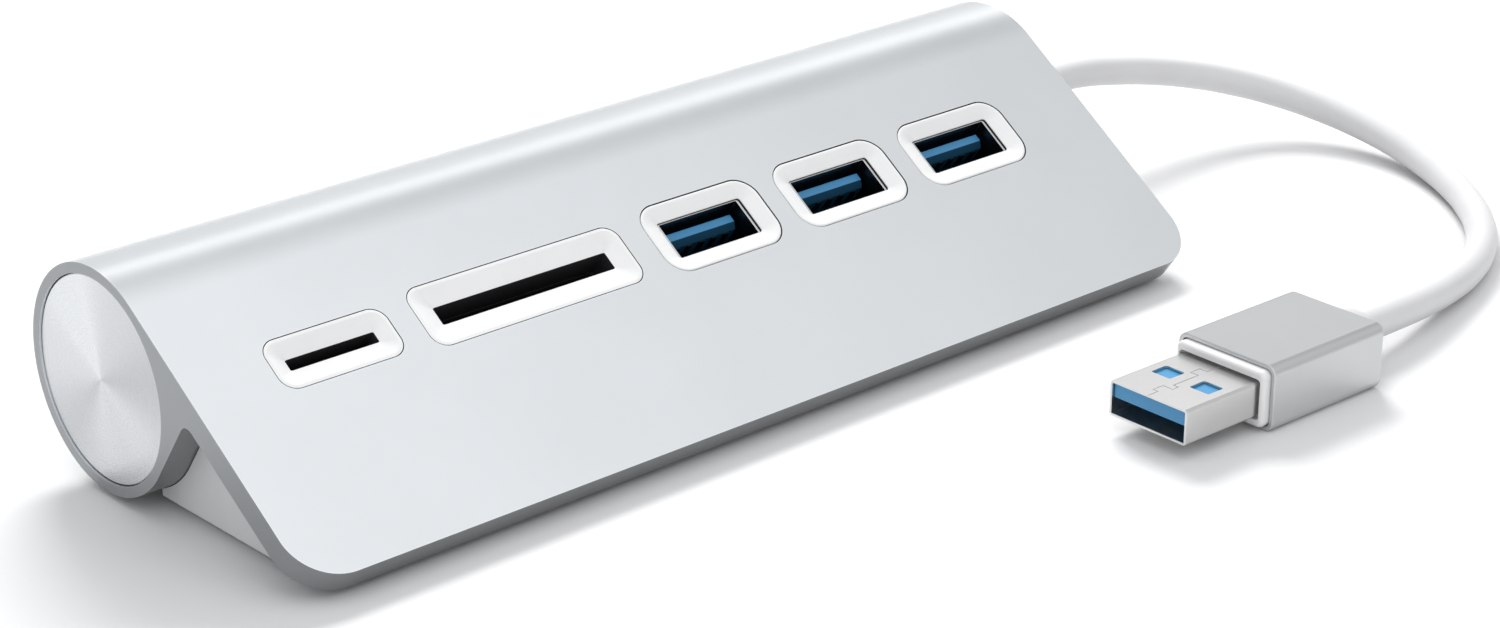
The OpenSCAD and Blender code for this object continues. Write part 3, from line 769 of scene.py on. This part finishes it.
class HUB_OT_body(bpy.types.Operator):
    """Models the extrusion: tube, web and sloping plate, with its openings"""

    bl_idname = "hub.body"
    bl_label = "Extrusion"

    PLATE = 3.3 * MM
    CORNER = 6.3 * MM
    FILLET = 1.5 * MM
    BORE = 12.4 * MM
    POCKET_INSET = 5 * MM
    POCKET_TOP = 5.5 * MM
    POCKET_DEPTH = 19 * MM
    # Points closer than this, left where the pieces join, become one
    WELD = 0.003 * MM

    def execute(self, context):
        sizes = context.scene.hub_sizes
        segments = sizes.tube_segments
        length = 2 * HALF_LENGTH
        end = -HALF_LENGTH
        shell = turned_piece("extrusion", [(0, TUBE_RADIUS), (length, TUBE_RADIUS)], segments)
        place(shell, along_x((end, TUBE_CENTRE.y, TUBE_CENTRE.z)))
        combine(shell, self.plate(), "UNION")
        combine(shell, self.web(), "UNION")
        modify(shell, "WELD", merge_threshold=self.WELD)
        bore = turned_piece("bore", [(-MM, self.BORE), (length + MM, self.BORE)], segments)
        place(bore, along_x((end, TUBE_CENTRE.y, TUBE_CENTRE.z)))
        combine(shell, bore, "DIFFERENCE")
        for piece in PORT_FRAMES:
            combine(shell, frame_cutter(piece, sizes.seam), "DIFFERENCE")
        combine(shell, self.pocket(), "DIFFERENCE")
        finish_shading(shell)
        self.paint(shell)
        settle(shell, ["shell"], None)
        return {"FINISHED"}

    def plate(self):
        reach = slope_reach()
        plate = box_between(
            "plate", (-HALF_LENGTH, -reach, -self.PLATE), (HALF_LENGTH, 0, 0)
        )
        pick_edges(plate, lambda a, b: (
            max(a.y, b.y) < -reach / 2 and abs(a.x - b.x) < MM and abs(a.z - b.z) > MM
        ))
        bpy.ops.mesh.bevel(offset=self.CORNER, segments=24, affect="EDGES")
        bpy.ops.object.mode_set(mode="OBJECT")
        return place(plate, slope_frame(slope_origin()))

    def web(self):
        web = box_between(
            "web", (-HALF_LENGTH, -SLOPE_RADIUS, -SLOPE_RADIUS), (HALF_LENGTH, 0, -self.PLATE / 2)
        )
        fillet = box_between(
            "fillet", (-HALF_LENGTH, -SLOPE_RADIUS - self.FILLET, -self.PLATE - self.FILLET),
            (HALF_LENGTH, -SLOPE_RADIUS / 2, -self.PLATE / 2),
        )
        beyond = HALF_LENGTH + MM
        hollow = turned_piece("hollow", [(-beyond, self.FILLET), (beyond, self.FILLET)], 48)
        place(hollow, along_x((0, -SLOPE_RADIUS - self.FILLET, -self.PLATE - self.FILLET)))
        combine(fillet, hollow, "DIFFERENCE")
        combine(web, fillet, "UNION")
        return place(web, slope_frame(slope_origin()))

    def pocket(self):
        half = HALF_LENGTH - self.POCKET_INSET
        front = SLOPE_RADIUS + self.FILLET + MM / 2
        pocket = box_between(
            "pocket", (-half, -front, -self.POCKET_DEPTH), (half, -self.POCKET_TOP, -self.PLATE)
        )
        return place(pocket, slope_frame(slope_origin()))

    @staticmethod
    def paint(shell):
        """The anodised finish, with the darker cut finish on both ends, and the same darker colour
        round the plate as painted shade.
        """
        for name in ("anodised", "cut"):
            shell.data.materials.append(MATERIALS[name])
        for face in shell.data.polygons:
            at_end = abs(face.center.x) > HALF_LENGTH - 0.02 * MM and abs(face.normal.x) > 0.99
            on_plate = (face.center - slope_origin()).dot(SLOPE_UP) < 0
            # Painted shade: the front edge and underside of the plate get the darker cut colour
            edge = on_plate and face.normal.dot(SLOPE_OUT) < 0.35
            face.material_index = 1 if at_end or edge else 0


def slope_origin():
    """Where the slope leaves the tube, half way along the body."""
    return TUBE_CENTRE + SLOPE_RADIUS * SLOPE_OUT


def slope_reach():
    """Length of the slope: its front edge is the lowest Y of the extrusion."""
    return (slope_origin().y - SHELL_LOW.y) / SLOPE_UP.y


# Each port frame: its mount, width, height, corner radius and slot
PORT_FRAMES = {
    "microsd_frame": ("microsd_slot", 16.6, 6.7, 2.0, (12.1, 1.5)),
    "sd_frame": ("sd_slot", 31.2, 8.4, 2.0, (25.6, 2.5)),
    "usb_frame_1": ("usb_port_1", 18.5, 10.1, 3.0, (13.4, 5.4)),
    "usb_frame_2": ("usb_port_2", 18.5, 10.1, 3.0, (13.4, 5.4)),
    "usb_frame_3": ("usb_port_3", 18.5, 10.1, 3.0, (13.4, 5.4)),
}


def rounded_block(name, width, height, corner, low, high, segments=12):
    """A block with round upright edges, centred on Z."""
    block = box_between(name, (-width / 2, -height / 2, low), (width / 2, height / 2, high))
    pick_edges(block, lambda a, b: abs(a.z - b.z) > (high - low) / 2)
    bpy.ops.mesh.bevel(offset=corner, segments=segments, affect="EDGES")
    bpy.ops.object.mode_set(mode="OBJECT")
    return block


def port_origin(piece):
    """Centre of a port on the surface of the slope."""
    return Vector(MOUNTS[PORT_FRAMES[piece][0]]["pos_m"]) + FUNNEL_DEPTH * SLOPE_OUT


def frame_cutter(piece, seam):
    """The opening in the plate for one frame."""
    _, width, height, corner, _ = PORT_FRAMES[piece]
    cutter = rounded_block(
        "opening", width * MM + 2 * seam, height * MM + 2 * seam, corner * MM + seam, -4 * MM, MM
    )
    return place(cutter, slope_frame(port_origin(piece)))


class HUB_OT_port_frames(bpy.types.Operator):
    """Models the white frames round the ports"""

    bl_idname = "hub.port_frames"
    bl_label = "Port frames"

    RIM = 0.4 * MM
    BACK = 4.3 * MM

    def execute(self, context):
        for piece in PORT_FRAMES:
            self.port_frame(piece)
        return {"FINISHED"}

    def port_frame(self, piece):
        _, width, height, corner, slot = PORT_FRAMES[piece]
        block = rounded_block(
            piece + "_moulded", width * MM, height * MM, corner * MM, -self.BACK, -0.02 * MM, 14
        )
        pick_faces(block, lambda centre, normal: normal.z > 0.9)
        bpy.ops.mesh.inset(thickness=self.RIM)
        inner = corner * MM - self.RIM - 0.35 * MM
        bpy.ops.mesh.inset(thickness=inner, depth=-0.25 * MM)
        left = 2 * (self.RIM + inner)
        bpy.ops.transform.resize(
            value=(slot[0] * MM / (width * MM - left), slot[1] * MM / (height * MM - left), 1),
            center_override=(0, 0, 0),
        )
        bpy.ops.transform.translate(value=(0, 0, 0.27 * MM - FUNNEL_DEPTH))
        bpy.ops.mesh.extrude_region_move(
            TRANSFORM_OT_translate={"value": (0, 0, FUNNEL_DEPTH - self.BACK)}
        )
        bpy.ops.mesh.delete(type="FACE")
        bpy.ops.object.mode_set(mode="OBJECT")
        pick_faces(block, lambda centre, normal: (
            normal.z < -0.9 and abs(centre.z + self.BACK) < 0.01 * MM
        ))
        bpy.ops.mesh.delete(type="FACE")
        bpy.ops.mesh.select_mode(type="EDGE")
        bpy.ops.mesh.select_all(action="DESELECT")
        bpy.ops.mesh.select_non_manifold()
        bpy.ops.mesh.bridge_edge_loops()
        bpy.ops.mesh.select_all(action="SELECT")
        bpy.ops.mesh.normals_make_consistent(inside=False)
        bpy.ops.object.mode_set(mode="OBJECT")
        modify(
            block, "BEVEL", width=0.16 * MM, segments=3, limit_method="ANGLE",
            angle_limit=radians(11), use_clamp_overlap=True,
        )
        finish_shading(block)
        for name in ("white", "dark_plastic_and_shade"):
            block.data.materials.append(MATERIALS[name])
        # Painted shade: the walls deep in the slot get the dark plastic colour, though the frame is
        # white
        reach_x, reach_y = (side * MM / 2 + 0.05 * MM for side in slot)
        for face in block.data.polygons:
            in_slot = abs(face.center.x) < reach_x and abs(face.center.y) < reach_y
            if in_slot and face.center.z < -FUNNEL_DEPTH - 0.1 * MM:
                face.material_index = 1
        place(block, slope_frame(port_origin(piece)))
        settle(block, [piece], None)


class HUB_OT_end_discs(bpy.types.Operator):
    """Turns the two end discs"""

    bl_idname = "hub.end_discs"
    bl_label = "End discs"

    def execute(self, context):
        segments = context.scene.hub_sizes.tube_segments
        for node_name, backwards in (("left_end_disc", True), ("right_end_disc", False)):
            low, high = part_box(node_name)
            thick, radius = high.x - low.x, (high.z - low.z) / 2
            chamfer = 0.1 * MM
            steps = [(0, radius), (thick - chamfer, radius), (thick, radius - chamfer)]
            disc = turned_piece(node_name + "_turned", steps, segments)
            start = high.x if backwards else low.x
            place(disc, along_x((start, TUBE_CENTRE.y, TUBE_CENTRE.z), backwards))
            if not backwards:
                hole = turned_piece("hole", [(-MM, 3.5 * MM), (thick + MM, 3.5 * MM)], 64)
                place(hole, along_x((start, TUBE_CENTRE.y, TUBE_CENTRE.z)))
                combine(disc, hole, "DIFFERENCE")
            finish_shading(disc)
            settle(disc, [node_name], MATERIALS["turned"])
        return {"FINISHED"}


class HUB_OT_base(bpy.types.Operator):
    """Finishes the moulded base and its feet"""

    bl_idname = "hub.base"
    bl_label = "Base and feet"

    def execute(self, context):
        base = merged_copy("base_moulded", "base")
        soften(base, 0.18 * MM, 2, 30)
        settle(base, ["base"], MATERIALS["base"])
        feet = merged_copy("feet_moulded", "rubber_feet")
        soften(feet, 0.12 * MM, 2, 60)
        settle(feet, ["rubber_feet"], MATERIALS["rubber"])
        return {"FINISHED"}


class HUB_OT_ports(bpy.types.Operator):
    """Finishes the tongues and shells in the USB ports"""

    bl_idname = "hub.ports"
    bl_label = "Port tongues and shells"

    def execute(self, context):
        for number in (1, 2, 3):
            node_name = f"usb_tongue_{number}"
            tongue = merged_copy(node_name + "_moulded", node_name)
            self.chamfer(tongue)
            soften(tongue, 0.12 * MM, 2, 30)
            for name in ("blue", "shaded_blue"):
                tongue.data.materials.append(MATERIALS[name])
            # Painted shade: faces turned down the slope get the darker blue
            for face in tongue.data.polygons:
                face.material_index = 1 if face.normal.dot(SLOPE_UP) < -0.3 else 0
            settle(tongue, [node_name], None)
            node_name = f"usb_port_shell_{number}"
            shell = merged_copy(node_name + "_folded", node_name)
            soften(shell, 0.06 * MM, 2, 30)
            for name in ("port", "steel"):
                shell.data.materials.append(MATERIALS[name])
            # Painted shade: all but the outward-facing rim of each shell gets the near-black port
            # colour
            for face in shell.data.polygons:
                face.material_index = 1 if face.normal.dot(SLOPE_OUT) > 0.5 else 0
            settle(shell, [node_name], None)
        return {"FINISHED"}

    @staticmethod
    def chamfer(tongue):
        """Slants the lower front edge of a tongue, where a plug slides on to it."""
        corners = [vertex.co for vertex in tongue.data.vertices]
        front = max(corner.dot(SLOPE_OUT) for corner in corners)
        low = min(c.dot(SLOPE_UP) for c in corners if c.dot(SLOPE_OUT) > front - 0.1 * MM)
        pick_edges(tongue, lambda a, b: all(
            point.dot(SLOPE_OUT) > front - 0.1 * MM and point.dot(SLOPE_UP) < low + 0.1 * MM
            for point in (a, b)
        ))
        bpy.ops.mesh.bevel(offset=0.75 * MM, segments=1, affect="EDGES")
        bpy.ops.object.mode_set(mode="OBJECT")


class HUB_OT_plug(bpy.types.Operator):
    """Models the plug: its sleeve, moulding, metal shell and insulator"""

    bl_idname = "hub.plug"
    bl_label = "Plug"

    def execute(self, context):
        self.sleeve()
        self.moulding()
        self.shell()
        self.insulator()
        return {"FINISHED"}

    @staticmethod
    def lengthwise(block):
        """Turns a block made round Z into the plug's own frame, Z along its length."""
        turn = Matrix(((0, 0, 1, 0), (1, 0, 0, 0), (0, 1, 0, 0), (0, 0, 0, 1)))
        return place(block, plug_frame() @ turn)

    def sleeve(self):
        block = rounded_block(
            "plug_sleeve_drawn", 15.1 * MM, 8.5 * MM, 1.3 * MM, 13.5 * MM, 33.5 * MM, 10
        )
        hole = rounded_block("hole", 13.9 * MM, 7.3 * MM, 0.7 * MM, 12 * MM, 35 * MM, 8)
        combine(block, hole, "DIFFERENCE")
        soften(block, 0.16 * MM, 3, 40)
        self.lengthwise(block)
        settle(block, ["plug_sleeve"], MATERIALS["sleeve"])

    def moulding(self):
        block = rounded_block(
            "plug_moulding_soft", 13.8 * MM, 7.2 * MM, 0.9 * MM, 12.3 * MM, PLUG_BACK, 10
        )
        modify(
            block, "BEVEL", width=0.55 * MM, segments=5, limit_method="ANGLE",
            angle_limit=radians(50),
        )
        recess = rounded_block("recess", 12.7 * MM, 5.2 * MM, 0.5 * MM, 11 * MM, 13.3 * MM, 6)
        combine(block, recess, "DIFFERENCE")
        throat = rounded_block(
            "throat", 12.04 * MM, 4.54 * MM, 0.4 * MM, 11 * MM, 18.75 * MM, 6
        )
        combine(block, throat, "DIFFERENCE")
        soften(block, 0.06 * MM, 2, 40)
        self.lengthwise(block)
        settle(block, ["plug_moulding"], MATERIALS["white"])

    def shell(self):
        block = rounded_block("plug_shell_folded", 12 * MM, 4.5 * MM, 0.4 * MM, 0, 18.65 * MM, 6)
        hole = rounded_block("hole", 11.4 * MM, 3.9 * MM, 0.15 * MM, -MM, 20 * MM, 4)
        combine(block, hole, "DIFFERENCE")
        for side in (-3, 3):
            window = rounded_block("window", 3 * MM, 2.7 * MM, 0.3 * MM, -5 * MM, 5 * MM, 4)
            turn = Matrix.Rotation(pi / 2, 4, "X")
            place(window, Matrix.Translation((side * MM, 0, 6.65 * MM)) @ turn)
            combine(block, window, "DIFFERENCE")
        for cutter in self.seam():
            combine(block, cutter, "DIFFERENCE")
        soften(block, 0.04 * MM, 2, 50)
        self.lengthwise(block)
        settle(block, ["plug_shell"], MATERIALS["plug"])

    @staticmethod
    def seam():
        """Thin grooves of the interlocking seam on top of the shell, as blocks to cut away."""
        half, bottom, top = 0.06, 2.19, 2.4
        route = [
            (0.0, 0.0), (1.6, 0.0), (1.6, 0.75), (3.3, 0.75), (3.3, -0.75), (4.3, -0.75),
            (4.3, 0.0), (8.6, 0.0), (8.6, 1.2), (10.2, 1.2), (10.2, 0.0), (12.2, 0.0),
        ]
        grooves = []
        for (a_z, a_x), (b_z, b_x) in zip(route, route[1:]):
            low = Vector((min(a_x, b_x) - half, bottom, min(a_z, b_z) - half))
            high = Vector((max(a_x, b_x) + half, top, max(a_z, b_z) + half))
            grooves.append(box_between("groove", low * MM, high * MM))
        return grooves

    @staticmethod
    def insulator():
        piece = merged_copy("plug_insulator_moulded", "plug_insulator")
        soften(piece, 0.12 * MM, 2, 30)
        settle(piece, ["plug_insulator"], MATERIALS["blue"])


class HUB_OT_attach_plug(bpy.types.Operator):
    bl_idname = "hub.attach_plug"
    bl_label = "Attach plug"

    PIECES = (
        "strain_relief", "plug_boot_soft", "plug_sleeve_drawn", "plug_moulding_soft",
        "plug_shell_folded", "plug_insulator_moulded",
    )

    def execute(self, context):
        return {"FINISHED"}


class HUB_OT_inner_parts(bpy.types.Operator):
    """Gives every carried-over part its finish"""

    bl_idname = "hub.inner_parts"
    bl_label = "Inner parts"

    FINISHES = {
        "dark_plastic": "dark_plastic_and_shade", "screw_steel": "screw", "plated_steel": "steel", "gilt": "gilt",
        "board_laminate": "board", "chip_plastic": "chip", "capacitor_can": "steel",
        "ceramic": "ceramic", "wire_insulation": "wire", "cord_jacket": "cord",
    }

    def execute(self, context):
        for row in frame["record"]["subparts"]:
            finish = self.FINISHES.get(row["material_slot"])
            # Painted shade: the card sockets deep in the slots are coloured dark plastic, whatever
            # their own finish
            if row["node"].startswith(("sd_socket", "microsd_socket")):
                finish = "dark_plastic_and_shade"
            # Painted shade: the gold contacts of the ports and the plug take the near-black contact
            # colour
            if row["node"] in ("usb_port_contacts", "plug_contacts"):
                finish = "contacts_painted_shade"
            mesh = frame["nodes"][row["node"]].data
            if finish:
                for index in range(max(1, len(mesh.materials))):
                    if mesh.materials:
                        mesh.materials[index] = MATERIALS[finish]
                    else:
                        mesh.materials.append(MATERIALS[finish])
        return {"FINISHED"}


class HUB_PT_panel(bpy.types.Panel):
    """The pieces of the hub, in the sidebar"""

    bl_label = "USB hub"
    bl_idname = "HUB_PT_panel"
    bl_space_type = "VIEW_3D"
    bl_region_type = "UI"
    bl_category = "USB hub"

    def draw(self, context):
        scene = context.scene
        for group in (scene.hub_sizes, scene.hub_colours, scene.hub_studio):
            column = self.layout.column(align=True)
            for name in group.__annotations__:
                column.prop(group, name)
        for operator in OPERATORS:
            self.layout.operator(operator.bl_idname)


SETTINGS = {"hub_sizes": HubSizes, "hub_colours": HubColours, "hub_studio": HubStudio}
OPERATORS = (
    HUB_OT_stage, HUB_OT_cord, HUB_OT_body, HUB_OT_port_frames, HUB_OT_end_discs,
    HUB_OT_base, HUB_OT_ports, HUB_OT_plug, HUB_OT_attach_plug, HUB_OT_inner_parts,
)
CLASSES = (*SETTINGS.values(), *OPERATORS, HUB_PT_panel)


def register():
    for item in CLASSES:
        bpy.utils.register_class(item)
    for name, group in SETTINGS.items():
        setattr(bpy.types.Scene, name, PointerProperty(type=group))


def unregister():
    for name in SETTINGS:
        delattr(bpy.types.Scene, name)
    for item in reversed(CLASSES):
        bpy.utils.unregister_class(item)


def main():
    register()
    MATERIALS.update(make_materials(bpy.context.scene.hub_colours))
    bpy.ops.hub.stage()
    bpy.ops.hub.cord()
    bpy.ops.hub.body()
    bpy.ops.hub.port_frames()
    bpy.ops.hub.end_discs()
    bpy.ops.hub.base()
    bpy.ops.hub.ports()
    bpy.ops.hub.plug()
    bpy.ops.hub.attach_plug()
    bpy.ops.hub.inner_parts()


if __name__ == "__main__":
    main()
